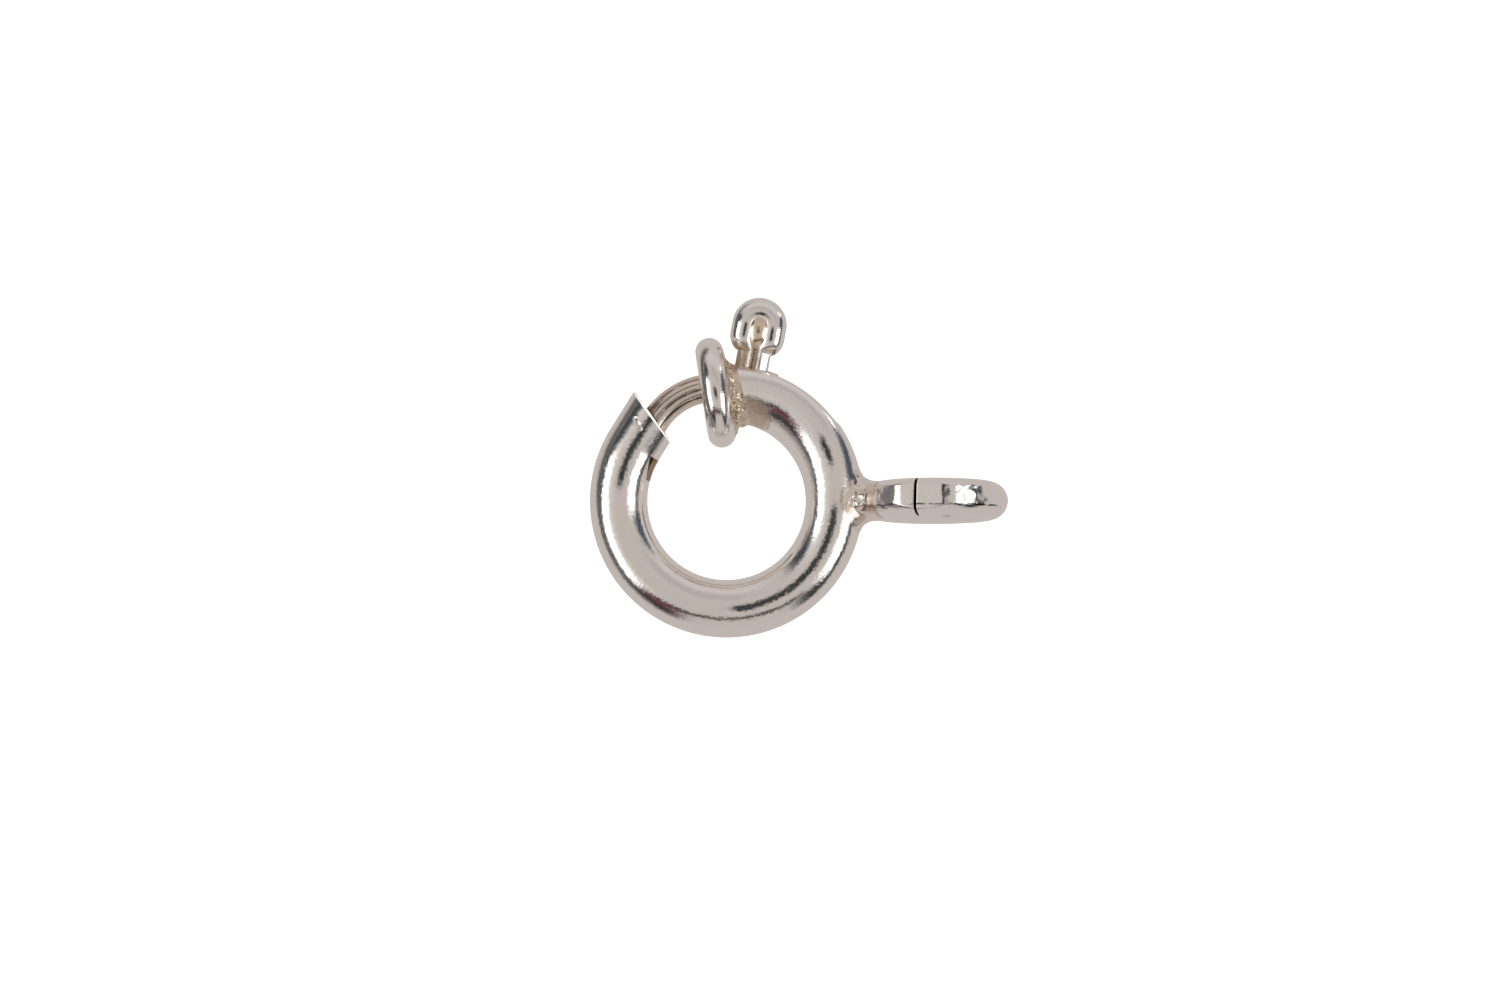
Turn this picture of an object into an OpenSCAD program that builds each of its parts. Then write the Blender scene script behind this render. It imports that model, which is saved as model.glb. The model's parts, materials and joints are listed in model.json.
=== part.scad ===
// A bolt ring clasp with a closed jump ring. A hollow ring has a gap that a sprung bolt shuts,
// the bolt is drawn back by a looped trigger, and the jump ring is soldered edge-on to its side.
// The clasp is drawn with its ring flat and its jump ring towards +X, and then laid down as it
// rests by itself: on the ring's edge, the collar and the jump ring. The origin is on the surface
// that it rests on, below the middle of its box.

/* [Ring] */
// Outer diameter of the ring
ring_d = 9; // [8.8:0.1:9.4]
// Diameter of the tube that the ring is bent from
tube_d = 1.9; // [1.85:0.01:1.95]
// Thickness of the tube's wall
tube_wall = 0.17; // [0.15:0.01:0.18]
// Where the tube ends inside the collar, in degrees anticlockwise from the jump ring
tube_end_deg = 100.5; // [99:0.5:101]

/* [Catch] */
// Where the tube stops curving and runs on straight to its mouth
straight_deg = 148; // [146:1:150]
// Where the middle of the mouth is
mouth_deg = 131.3; // [130:0.1:133]
// Direction in which the mouth faces
mouth_facing_deg = 36.5; // [34:0.5:42]
// Width of the open stretch of seam behind the mouth
seam_w = 0.14; // [0.1:0.01:0.18]

/* [Collar] */
// Outer diameter of the wire ring round the tube's end
collar_d = 3.65; // [3.6:0.01:3.7]
// Thickness of the collar's wire
collar_wire = 0.92; // [0.9:0.01:0.95]
// Where the collar sits on the ring
collar_deg = 95.8; // [95:0.1:96]
// How far the collar leans from square to the tube
collar_lean = 3; // [0:0.5:4]

/* [Jump ring] */
// Outer diameter of the jump ring
jump_d = 4.85; // [4.75:0.01:4.95]
// Thickness of the jump ring's wire
jump_wire = 1.24; // [1.2:0.01:1.3]
// How far the jump ring leans from upright
jump_lean = 4.7; // [0:0.1:6]
// Width of the closed cut through the jump ring
cut_w = 0.06; // [0.04:0.01:0.1]

/* [Bolt] */
// Diameter of the bolt
bolt_d = 0.94; // [0.9:0.01:0.96]
// Radius of the bolt's middle line inside the tube
bolt_r = 3.77; // [3.74:0.01:3.78]
// How far the bolt is drawn back to open the clasp, in degrees
travel_deg = 38; // [36:0.5:38]

/* [Trigger] */
// Where the trigger stands on the ring with the clasp shut
trigger_deg = 79.4; // [79:0.1:80]
// Width of the trigger's head
head_d = 1.81; // [1.75:0.01:1.85]
// Distance from the ring's centre to the middle of the head's round end
head_out = 5.89; // [5.8:0.01:5.95]
// Diameter of each of the trigger's two legs
leg_d = 0.57; // [0.55:0.01:0.58]

/* [Spring] */
// Outer diameter of the coil
spring_d = 1.36; // [1.3:0.01:1.4]
// Thickness of the spring's wire
spring_wire = 0.2; // [0.16:0.01:0.22]
// Number of turns
spring_turns = 16; // [12:1:18]

/* [Hidden] */
$fn = 72;

silver = [0.84, 0.82, 0.80];
warm_silver = [0.80, 0.75, 0.67];
spring_steel = [0.62, 0.60, 0.57];

ring_r = (ring_d - tube_d) / 2;
bore_d = tube_d - 2 * tube_wall;
// How far a cutter reaches past what it cuts
cut_past = 0.1;
// Room all round a leg of the trigger in its slot
running_gap = 0.045;
// The bore is shut by a crimp that the spring pushes against
crimp_from_deg = 272;
crimp_to_deg = 279;
bore_past_deg = 2;

mouth_out = 3.68;
straight_len = 1.8;
straight_overlap = 0.1;
mouth_flare = 0.02;
seam_rise_deg = 36;
seam_from_deg = 149.5;
seam_to_deg = 165.5;

collar_r = (collar_d - collar_wire) / 2;
collar_out = 3.58;
collar_centre = polar(collar_out, collar_deg);
collar_axis = polar(1, collar_deg + collar_lean + 90);
collar_fillet_r = 0.45;
collar_solder_deg = 90.3;
collar_solder_proud = 0.06;
collar_solder_len = 0.68;

jump_r = (jump_d - jump_wire) / 2;
// The jump ring's wire bites halfway into the tube's wall
jump_x = ring_d / 2 - tube_wall / 2 + jump_d / 2;
jump_axis = [0, -cos(jump_lean), sin(jump_lean)];
cut_deg = 107.4;
jump_fillet_r = 0.7;
// The solder is drawn in to the jump ring's own wire this far outside the tube
jump_solder_out = 0.4;
jump_solder_flatness = 0.5;
// Share of its fillet's radius that a flare of solder spreads to
flare_spread = 0.92;

// The bolt follows the tube and then bends more sharply where it leaves it
bolt_bend_deg = 104;
bolt_bend_r = 2.4;
bolt_tail_deg = 62;
bolt_tip_turn = 47;
// The round tip's ball sits this far back from the bolt's end, as a turn about the bend
bolt_dome_back = 2.5;
bolt_dome_d = bolt_d - 0.04;
bolt_set_depth = 0.36;

leg_spacing = 0.54;
leg_foot_out = bolt_r + bolt_d / 2 - bolt_set_depth;
head_wire = 0.87;
head_r = (head_d - head_wire) / 2;
shoulder_in = 0.45;
shoulder_d = 0.86;
head_centre = polar(head_out, trigger_deg);

slot_w = leg_d + 2 * running_gap;
// The slot's round ends are a little wider than the slot, so they cut across its sides
slot_end_d = slot_w + 0.04;
slot_foot_out = ring_r + bore_d / 4;
slot_head_out = head_out - shoulder_in;
// Half the angle that the legs and their running gap take up at the tube's outer side
leg_half_deg = asin((leg_spacing / 2 + leg_d / 2 + running_gap) / (ring_d / 2));
slot_to_deg = trigger_deg + leg_half_deg;
slot_from_deg = trigger_deg - travel_deg - leg_half_deg;
slot_end_deg = asin(slot_end_d / ring_d);

spring_gap_deg = 2.5;
spring_from_deg = crimp_to_deg - 360 + spring_gap_deg;
spring_to_deg = bolt_tail_deg - spring_gap_deg;
spring_steps_per_turn = 12;
spring_sides = 6;

// Where the clasp touches the surface: the tube, the collar and the jump ring reach equally far down
settling_rounds = 24;
down = settle([0, 0, -1], settling_rounds);
tilt_axis = cross(-down, [0, 0, 1]);
tilt_deg = acos(-down.z);
box_middle_x = (jump_reach(level([1, 0, 0])) - tube_reach(level([-1, 0, 0]))) / 2;
box_middle_y = (head_reach(level([0, 1, 0])) - tube_reach(level([0, -1, 0]))) / 2;

// A point or direction in the ring's plane
function polar(r, deg) = [r * cos(deg), r * sin(deg), 0];

// How far a wire ring reaches along the direction d
function reach(d, centre, axis, r, wire) = centre * d + r * sqrt(1 - pow(axis * d, 2)) + wire / 2;
function tube_reach(d) = reach(d, [0, 0, 0], [0, 0, 1], ring_r, tube_d);
function jump_reach(d) = reach(d, [jump_x, 0, 0], jump_axis, jump_r, jump_wire);
function head_reach(d) = reach(d, head_centre, [0, 0, 1], head_r, head_wire);

// Turns the direction d until all three wire rings reach equally far along it, half the way each time
function settle(d, rounds) =
    rounds == 0 ? d :
    let (
        over_jump = tube_reach(d) - reach(d, [0, 0, 0], jump_axis, jump_r, jump_wire),
        over_collar = tube_reach(d) - reach(d, [0, 0, 0], collar_axis, collar_r, collar_wire),
        x = (d.x + over_jump / jump_x) / 2,
        y = (d.y + (over_collar - collar_centre.x * x) / collar_centre.y) / 2
    )
    settle([x, y, -sqrt(1 - x * x - y * y)], rounds - 1);

// A direction of the resting clasp, as seen by the flat one
function level(d) =
    let (k = tilt_axis / norm(tilt_axis))
    d * cos(tilt_deg) - cross(k, d) * sin(tilt_deg) + k * (k * d) * (1 - cos(tilt_deg));

// Lays the flat clasp down as it rests
module resting() {
    translate([-box_middle_x, -box_middle_y, tube_reach(down)])
        rotate(a = tilt_deg, v = tilt_axis)
            children();
}

module wire_ring(r, wire) {
    rotate_extrude()
        translate([r, 0])
            circle(d = wire);
}

// A rod that follows the ring from one angle to another
module bent_rod(r, d, from_deg, to_deg) {
    rotate([0, 0, from_deg])
        rotate_extrude(angle = to_deg - from_deg)
            translate([r, 0])
                circle(d = d);
}

// The catch's straight end, a little wider than the bent tube that it sits over
module straight_rod(d) {
    translate(polar(ring_r, straight_deg))
        rotate([0, 90, straight_deg - 90])
            translate([0, 0, -straight_overlap])
                cylinder(d = d + mouth_flare, h = straight_len + straight_overlap);
}

// Everything in front of the catch's mouth
module mouth_cut() {
    size = tube_d * 2;
    translate(polar(mouth_out, mouth_deg))
        rotate([0, 0, mouth_facing_deg])
            translate([0, -size / 2, -size / 2])
                cube(size);
}

// The bore is in two lengths, with the crimp between them
module bore() {
    bent_rod(ring_r, bore_d, crimp_to_deg, 360 + tube_end_deg + bore_past_deg);
    bent_rod(ring_r, bore_d, straight_deg, crimp_from_deg);
    straight_rod(bore_d);
}

// The slot in the tube's outer side that the trigger's legs run in
module trigger_slot() {
    rotate([0, 0, slot_from_deg + slot_end_deg])
        rotate_extrude(angle = slot_to_deg - slot_from_deg - 2 * slot_end_deg)
            translate([slot_foot_out, -slot_w / 2])
                square([slot_head_out - slot_foot_out, slot_w]);
    for (deg = [slot_from_deg + slot_end_deg, slot_to_deg - slot_end_deg])
        rotate([0, 90, deg])
            translate([0, 0, slot_foot_out])
                cylinder(d = slot_end_d, h = slot_head_out - slot_foot_out);
}

// The stretch of the tube's seam that is left open, above the inner side
module seam() {
    rotate([0, 0, seam_from_deg])
        rotate_extrude(angle = seam_to_deg - seam_from_deg)
            translate([ring_r, 0])
                rotate(180 - seam_rise_deg)
                    translate([bore_d / 2 - cut_past, -seam_w / 2])
                        square([tube_wall + 2 * cut_past, seam_w]);
}

// A flare of solder round the Z axis: wide at the foot, drawn in to the radius r at its height h
module flare(r, fillet_r, h) {
    difference() {
        cylinder(r = r + fillet_r * flare_spread, h = h);
        translate([0, 0, h])
            wire_ring(r + fillet_r, 2 * fillet_r);
    }
}

module tube() {
    color(silver) {
        bent_rod(ring_r, tube_d, straight_deg, 360 + tube_end_deg);
        difference() {
            straight_rod(tube_d);
            mouth_cut();
        }
    }
}

module collar() {
    color(silver)
        translate(collar_centre)
            rotate([90, 0, collar_deg + collar_lean])
                wire_ring(collar_r, collar_wire);
}

module collar_solder() {
    color(warm_silver)
        translate(polar(ring_r, collar_solder_deg))
            rotate([90, 0, collar_solder_deg])
                translate([0, 0, -collar_fillet_r / 2])
                    flare(tube_d / 2 + collar_solder_proud, collar_fillet_r, collar_solder_len);
}

module jump_ring() {
    color(silver)
        translate([jump_x, 0, 0])
            rotate([90 - jump_lean, 0, 0])
                difference() {
                    wire_ring(jump_r, jump_wire);
                    rotate([0, 0, cut_deg])
                        translate([jump_r, 0, 0])
                            cube([jump_wire + 2 * cut_past, cut_w, jump_wire + 2 * cut_past], center = true);
                }
}

module jump_solder() {
    color(warm_silver)
        translate([ring_r, 0, 0])
            scale([1, 1, jump_solder_flatness])
                rotate([0, 90, 0])
                    flare(jump_wire / 2, jump_fillet_r, tube_d / 2 + jump_solder_out);
}

module clasp_ring() {
    difference() {
        union() {
            tube();
            collar();
            collar_solder();
            jump_ring();
            jump_solder();
        }
        bore();
        trigger_slot();
        seam();
    }
}

// The trigger's two legs side by side, from the bolt up into the head
module legs() {
    for (side = [-1, 1])
        rotate([0, 90, trigger_deg])
            translate([0, side * leg_spacing / 2, leg_foot_out])
                cylinder(d = leg_d, h = head_out - shoulder_in - leg_foot_out);
}

// The head is thick wire bent into a shut loop, with round shoulders where it is drawn down to the legs
module head() {
    translate(head_centre)
        wire_ring(head_r, head_wire);
    for (side = [-1, 1])
        rotate([0, 0, trigger_deg])
            translate([head_out - shoulder_in, side * head_r, 0])
                sphere(d = shoulder_d);
}

module trigger() {
    color(silver) {
        head();
        legs();
    }
}

module bolt() {
    bend_centre = polar(bolt_r - bolt_bend_r, bolt_bend_deg);
    color(warm_silver)
        difference() {
            union() {
                bent_rod(bolt_r, bolt_d, bolt_tail_deg, bolt_bend_deg);
                translate(bend_centre)
                    bent_rod(bolt_bend_r, bolt_d, bolt_bend_deg, bolt_bend_deg + bolt_tip_turn);
                translate(bend_centre + polar(bolt_bend_r, bolt_bend_deg + bolt_tip_turn - bolt_dome_back))
                    sphere(d = bolt_dome_d);
            }
            legs();
        }
}

// The coil's middle line: a helix whose axis follows the ring, at the share t of its length
function coil_deg(t) = spring_from_deg + (spring_to_deg - spring_from_deg) * t;
function coil_out(t) =
    cos(360 * spring_turns * t) * polar(1, coil_deg(t)) + sin(360 * spring_turns * t) * [0, 0, 1];
function coil_ring(t) =
    let (
        out = coil_out(t),
        along = polar(1, coil_deg(t) + 90),
        centre = polar(ring_r, coil_deg(t)) + out * (spring_d - spring_wire) / 2
    )
    [for (i = [0 : spring_sides - 1])
        let (deg = 360 * i / spring_sides)
        centre + (out * cos(deg) + along * sin(deg)) * spring_wire / 2];

module spring() {
    last = spring_turns * spring_steps_per_turn;
    points = [for (k = [0 : last]) each coil_ring(k / last)];
    walls = [for (k = [0 : last - 1], i = [0 : spring_sides - 1])
        let (
            a = k * spring_sides + i,
            b = k * spring_sides + (i + 1) % spring_sides
        )
        each [[a, a + spring_sides, b], [b, a + spring_sides, b + spring_sides]]];
    first_end = [for (i = [0 : spring_sides - 1]) i];
    last_end = [for (i = [spring_sides - 1 : -1 : 0]) last * spring_sides + i];
    color(spring_steel)
        polyhedron(points, concat(walls, [first_end, last_end]));
}

resting() clasp_ring();
resting() bolt();
resting() trigger();
resting() spring();
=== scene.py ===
"""Dresses the bolt ring clasp in a pale studio: tube, collar, jump ring, solder, bolt, trigger and spring.

Every piece is modelled with the ring flat and its jump ring towards +X, in metres. It is then laid down as
the clasp rests, which the frame's hinge gives: the hinge stands at the ring's centre, square to the ring.
"""

import json
import math
from collections import namedtuple
from functools import partial

import bmesh
import bpy
from bpy.props import FloatProperty, FloatVectorProperty, IntProperty, PointerProperty
from mathutils import Matrix, Vector, noise


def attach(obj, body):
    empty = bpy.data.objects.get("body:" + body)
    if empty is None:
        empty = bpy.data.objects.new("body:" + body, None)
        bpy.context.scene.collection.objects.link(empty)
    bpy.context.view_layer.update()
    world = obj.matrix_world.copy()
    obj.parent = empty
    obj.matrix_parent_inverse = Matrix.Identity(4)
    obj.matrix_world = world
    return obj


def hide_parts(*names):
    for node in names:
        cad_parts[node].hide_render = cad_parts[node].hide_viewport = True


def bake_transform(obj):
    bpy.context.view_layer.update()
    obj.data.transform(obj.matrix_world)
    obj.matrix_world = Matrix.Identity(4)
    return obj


bl_info = {
    "name": "Bolt Ring Clasp",
    "version": (1, 0, 0),
    "blender": (4, 5, 0),
    "location": "3D View > Sidebar > Clasp",
    "description": "Builds a polished bolt ring clasp with a closed jump ring",
    "category": "Add Mesh",
}

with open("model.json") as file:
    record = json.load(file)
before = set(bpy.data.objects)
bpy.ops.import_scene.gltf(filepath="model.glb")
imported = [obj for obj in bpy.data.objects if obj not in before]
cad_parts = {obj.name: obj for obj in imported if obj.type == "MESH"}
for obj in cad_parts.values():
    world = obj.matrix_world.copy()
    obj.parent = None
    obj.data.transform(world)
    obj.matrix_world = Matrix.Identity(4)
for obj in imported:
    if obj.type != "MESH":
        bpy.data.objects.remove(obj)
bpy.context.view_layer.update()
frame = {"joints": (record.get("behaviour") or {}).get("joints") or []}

MM = 0.001
UP = Vector((0, 0, 1))
HINGE = frame["joints"][0]
CENTRE = Vector(HINGE["pos_m"])
# The hinge turns the bolt clockwise, seen from above the ring
RING_UP = -Vector(HINGE["axis"])
TILT = UP.rotation_difference(RING_UP).to_matrix().to_4x4()
REST = Matrix.Translation(CENTRE) @ TILT

# The tube, with places on the ring in degrees anticlockwise from the jump ring
STRAIGHT_DEG = 148
TUBE_END_DEG = 100.5
BEND_STEP_DEG = 1.25
SKIN_STEP_DEG = 4.5
MOUTH_MIDDLE = (3.68 * MM, 131.3)
MOUTH_FACING_DEG = 36.5
MOUTH_LIP = 0.25 * MM
MOUTH_CHAMFER = 0.058 * MM
# The mouth's filed chamfer is shaded as if it faced one way all round, towards the right soft box: a painted
# highlight
FILED_HIGHLIGHT_LEAN = (1.86, -0.53, 3.73)
SLOT_DEG = (33.7, 87.1)
SLOT_WIDTH = 0.66 * MM
SLOT_END_STEPS = 12

# The seam, which has opened in a slit behind the mouth and is a fine groove from there on
SEAM_SLIT_DEG = (149.5, 165.5)
# How far round the section the slit's upper edge lies, at the mouth's end of it and at its far end
SEAM_SLIT_TOP_DEG = (133, 150)
SEAM_SLIT_FOOT_DEG = 183
SEAM_DEG = 144
SEAM_GROOVE_END_DEG = 322
SEAM_GROOVE_WIDTH = 0.05 * MM
SEAM_GROOVE_DEPTH = 0.014 * MM
# A corner this near the skin and the seam lies on them
NEAR_SKIN = 0.01 * MM
NEAR_SEAM_DEG = 0.1

# The tube isn't bent quite true, which shows in its shading from this share of its height up
UNEVEN_UP = 0.6
# It twists from the first place on, fully at the second, and is true again at the third
TWIST_DEG = (2, 56, 115)
TWIST_SLOPE = -0.35
# Its crest dips along these stretches, as (middle, half)
WAVES_DEG = ((8.5, 11.5), (67, 33), (222.5, 51))
WAVE_EDGE_DEG = 7
WAVE_SLOPE = 0.19
# How far to either side the skin may face and still be crest: wholly up to the first, not past the second
CREST_REACH = (0.15, 0.28)
# Fine marks all over its upper side, as how much they lean and how far apart they are
MARKS_SLOPE = 0.22
MARKS_SIZE = 0.1 * MM
# Its inner side is pinched behind the mouth, wholly up to the first place and not past the second
PINCH_DEG = (146, 156)
PINCH_SLOPE = 0.1
# A nick behind the mouth, as (place, radius)
DENTS = (
    (Vector((-2.98 * MM, 2.68 * MM, 0.82 * MM)), 0.10 * MM),
    (Vector((-2.89 * MM, 2.52 * MM, 0.86 * MM)), 0.12 * MM),
    (Vector((-2.81 * MM, 2.36 * MM, 0.89 * MM)), 0.10 * MM),
)
DENT_DEPTH = 0.04 * MM

# The skin of every metal: how far apart its marks are and how deep they go
RIPPLE_SIZE = 1.3 * MM
RIPPLE_DEPTH = 0.017 * MM
BUFFING_SIZE = 0.07 * MM
BUFFING_DEPTH = 0.0052 * MM
LUMP_SIZE = 0.1 * MM
CLOUD_SIZE = 0.4 * MM
# How rough it is where it's brightest and dullest, as a share of its polish
CLOUD_RANGE = (0.75, 1.3)
# How far up the noise starts to show, and from where on it shows wholly
CLOUD_NOISE = (0.3, 0.75)
BLOTCH_NOISE = (0.35, 0.65)
DIRT_NOISE = (0.3, 0.55)
# How far up a line's mark dirt starts to show, and from where on it hides the metal
DIRT_MARK = (0.05, 0.5)
# Stained places: their uneven edges, blotches and darker rims, and how rough and pitted they are
WOBBLE_SIZE = 0.25 * MM
WOBBLE = 0.5
BLOTCH_SIZE = 0.12 * MM
BLOTCH_LEAST = 0.7
RIM_START = (0.1, 0.35)
RIM_END = (0.35, 0.7)
RIM_SHARE = 0.4
RIM_SHADE = 0.4
STAIN_ROUGHNESS = 0.24
PIT_SIZE = 0.09 * MM
PIT_DEPTH = 0.012 * MM

COLLAR_DEG = 95.8
COLLAR_LEAN_DEG = 3
COLLAR_OUT = 3.58 * MM

# Stained places on the flat clasp: (how far out, which way, how high), stained out to, and clean from
TUBE_STAINS = (
    ((2.87 * MM, 75, 0.67 * MM), 0.55 * MM, 0.82 * MM),
    ((4.35 * MM, 0, 0.6 * MM), 0.35 * MM, 0.85 * MM),
)
COLLAR_STAINS = (((3.6 * MM, 87, 0.9 * MM), 0.5 * MM, 0.95 * MM),)
JUMP_RING_STAINS = (((4.75 * MM, 0, 0.6 * MM), 0.35 * MM, 0.9 * MM),)
JUMP_SOLDER_STAINS = (
    ((3.95 * MM, -4, 0.85 * MM), 0.06 * MM, 0.3 * MM),
    ((4.38 * MM, -8, 0.6 * MM), 0.06 * MM, 0.3 * MM),
)
TRIGGER_STAINS = (((4.7668 * MM, 84.2137, 0.1 * MM), 0.3 * MM, 0.7 * MM),)
BEAD_STAINS = (((5.7701 * MM, 79.6979, 0.51 * MM), 0.0, 0.1 * MM),)

# The jump ring, with places on it in degrees from its far side, up over its top
JUMP_LEAN_DEG = 4.7
JUMP_CUT_DEG = 107.4
JUMP_CUT_WIDTH = 0.06 * MM
JUMP_CUT_ROUNDING = 0.02 * MM
# The flat that the pliers pressed across the cut
FACET_DEG = 102
FACET_DEPTH = 0.215 * MM
# How much of the band's lean and marks is left on that flat
FACET_SHARE = 0.5
# The band hammered along its top, as (where it fades out, where it's whole) at each end
BAND_START_DEG = (15, 40)
BAND_END_DEG = (158, 140)
BAND_DEPTH = 0.1 * MM
BAND_TILT_DEG = 6
BAND_EDGE = 0.02 * MM
BAND_LUMPS = ((0.45 * MM, 0.03 * MM), (0.15 * MM, 0.01 * MM))
BAND_LEAN = 0.2
BAND_MARKS = 0.2
BAND_MARK_SIZE = 0.28 * MM
# How whole the band must be for its marks to start to show, and to show wholly
BAND_MARKED = (0.6, 1.0)

# Solder: where its middle is, how far it fills a corner, how far it is looked for, and its lumps, each as
# (how far apart, how high)
COLLAR_SOLDER_DEG = 89
COLLAR_SOLDER_FILL = 0.62 * MM
COLLAR_SOLDER_REACH = 1.75 * MM
COLLAR_SOLDER_LUMPS = ((0.16 * MM, 0.045 * MM), (0.06 * MM, 0.015 * MM))
# How far outside the tube the middle of the jump ring's solder lies
JUMP_SOLDER_OUT = 0.05 * MM
JUMP_SOLDER_FILL = 0.8 * MM
JUMP_SOLDER_REACH = 1.4 * MM
JUMP_SOLDER_LUMPS = ((0.16 * MM, 0.014 * MM),)
# Drops on the jump ring's joint, as (place, radius)
DROPS = (
    (Vector((4.33 * MM, -0.08 * MM, 0.73 * MM)), 0.19 * MM),
    (Vector((4.53 * MM, -0.05 * MM, 0.64 * MM)), 0.14 * MM),
)
DROP_FILL = 0.03 * MM
# The solder's lumps are whole where it's this deep, and it sinks so far into the metal where it has run out
SOLDER_DEEP = 0.05 * MM
SOLDER_SUNK = 0.004 * MM
SOLDER_STEP = 0.04 * MM
SOLDER_HALVINGS = 10

BOLT_RADIUS = 3.77 * MM
BOLT_TAIL_DEG = 62
BOLT_BEND_DEG = 104
BOLT_BEND_RADIUS = 2.4 * MM
BOLT_TIP_TURN_DEG = 47
BOLT_STEP_DEG = 2
BOLT_LINE_DEPTH = 0.01 * MM
# Where round the bolt's section each line lies, and half its width
BOLT_LINES_DEG = ((46, 3), (68, 2.5), (92, 3.5), (125, 5), (205, 3), (233, 4), (262, 3), (301, 4), (334, 3))
DOME_STEPS = 8
# The share of the bolt's width that is left flat at its tip
DOME_FLAT = 0.02

# The trigger, whose wire runs out from its legs' feet past their necks and its shoulders to its head
TRIGGER_DEG = 79.4
LEG_FOOT_OUT = 3.88 * MM
NECK_OUT = 4.96 * MM
SHOULDER_OUT = 5.5 * MM
HEAD_OUT = 5.89 * MM
HEAD_WIRE = 0.9 * MM
HEAD_GAP = 0.004 * MM
LEG_SPACING = 0.54 * MM
SHOULDER_STEPS = 14
HEAD_STEPS = 12
# The wire leans outwards at the top of the head's bend, which grows in from the first place to the second
HEAD_LEAN_OUT = (5.75 * MM, 6.0 * MM)
HEAD_LEAN = 0.16
LEG_FLAT_TILT_DEG = 22
LEG_FLAT_DEPTH = 0.03 * MM
LEG_FLAT_FADE = 0.3 * MM
BEAD_OUT = 5.71 * MM
BEAD_HALF = (0.72 * MM, 0.5 * MM, 0.51 * MM)

SPRING_DEG = (-78.5, 59.5)
SPRING_STEPS_PER_TURN = 24

# A stretch of the studio as the ring sees it, in degrees: which way it lies and how far it goes to each
# side, how far down from straight above it starts and ends, how soft its edges are (fade is for its upper
# edge), the light that it gives, how much lower it gets for each degree of turn (lean), and how much lower
# its two ends hang (bow)
Patch = namedtuple("Patch", "about half top foot soft fade light lean bow", defaults=(0, 0))
PATCHES = (
    # A faint band round the back wall, and the brighter wall below it
    Patch(68, 34, 36, 56, 8, 8, (0.47, 0.425, 0.42)),
    Patch(75, 40, 62, 95, 9, 9, (0.62, 0.57, 0.565)),
    # The left soft box: its glow on the wall, its rail, three dark stands, a dark red cloth and the box
    Patch(189, 44, 32, 80, 10, 14, (0.72, 0.69, 0.665)),
    Patch(200, 42, 71, 95, 3, 3, (0.06, 0.057, 0.06)),
    Patch(154, 21, 57, 110, 5, 7, (0.062, 0.064, 0.072), 0.35),
    Patch(224, 18, 67, 95, 4, 5, (0.05, 0.042, 0.044)),
    Patch(233, 16, 58, 95, 4, 4, (0.05, 0.042, 0.044)),
    Patch(237, 12, 46, 62, 4, 4, (0.17, 0.06, 0.07)),
    Patch(190, 31, 45, 68, 2.5, 6, (1.9, 1.9, 1.9)),
    # The bluish stand behind the jump ring, and the dark one and the rail by the right soft box
    Patch(20, 15, 62, 98, 7, 7, (0.075, 0.09, 0.12), 0.8),
    Patch(-46, 10, 55, 88, 3, 5, (0.045, 0.043, 0.046)),
    Patch(-18, 30, 68, 87, 3, 3, (0.055, 0.052, 0.052)),
    # The right soft box
    Patch(-16, 21, 41, 70, 2.5, 5, (1.9, 1.9, 1.9)),
    # The thin edge of the near wall, and the camera overhead
    Patch(-90, 40, 36, 46.5, 2, 2, (0.02, 0.013, 0.011), 0, 7),
    Patch(0, 190, -9, 13, 2.5, 2.5, (0.042, 0.042, 0.041)),
    # A small bright card level with the ring's top
    Patch(37, 2.5, 87, 95, 1, 1, (3, 3, 2.9)),
)
BACKDROP = (0.96, 0.955, 0.95)
FLOOR_HALF = 1.5
FLOOR_GLOW = 0.8
# Painted shade: dark patches in the floor's glow, which only the metal sees: (which way, how far out, how
# far they reach)
FLOOR_SHADE_PATCHES = ((150, 40 * MM, 34 * MM), (198, 46 * MM, 37 * MM))
FLOOR_SHADE_GLOW = (0.07, 0.07, 0.075)
# How far a patch of painted shade darkens the floor's glow, and the share of its reach from which it fades
# out
FLOOR_SHADE_SHARE = 0.9
FLOOR_SHADE_WHOLE = 0.85
PICTURE_WIDTH = 49.37 * MM
PICTURE_MIDDLE = Vector((0.7725 * MM, 0.0316 * MM, 0))


def polar(radius, degrees, up=0.0):
    """A point or direction in the ring's plane."""
    turn = math.radians(degrees)
    return Vector((radius * math.cos(turn), radius * math.sin(turn), up))


def smoothstep(low, high, value):
    """0 at low to 1 at high, either of which may be the greater one."""
    share = min(1.0, max(0.0, (value - low) / (high - low)))
    return share * share * (3 - 2 * share)


def between(start, end, share):
    return start + (end - start) * share


def layered_noise(point, layers):
    """The sum of the noise layers at a point, each given as (how far apart, how high)."""
    return sum(noise.noise(point / apart) * height for apart, height in layers)


def ring_angle(point):
    return math.degrees(math.atan2(point.y, point.x)) % 360


def section_angle(point, radius):
    """Degrees round the section of a ring of that radius, from its outer side up over its top."""
    return math.degrees(math.atan2(point.z, math.hypot(point.x, point.y) - radius))


def verts_of(geom):
    return [g for g in geom if isinstance(g, bmesh.types.BMVert)]


def edges_of(geom):
    return [g for g in geom if isinstance(g, bmesh.types.BMEdge)]


def turn_all(bm, degrees):
    """Turns all that is made so far round the Z axis."""
    turn = Matrix.Rotation(math.radians(degrees), 3, "Z")
    bmesh.ops.rotate(bm, verts=bm.verts, cent=(0, 0, 0), matrix=turn)


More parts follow.
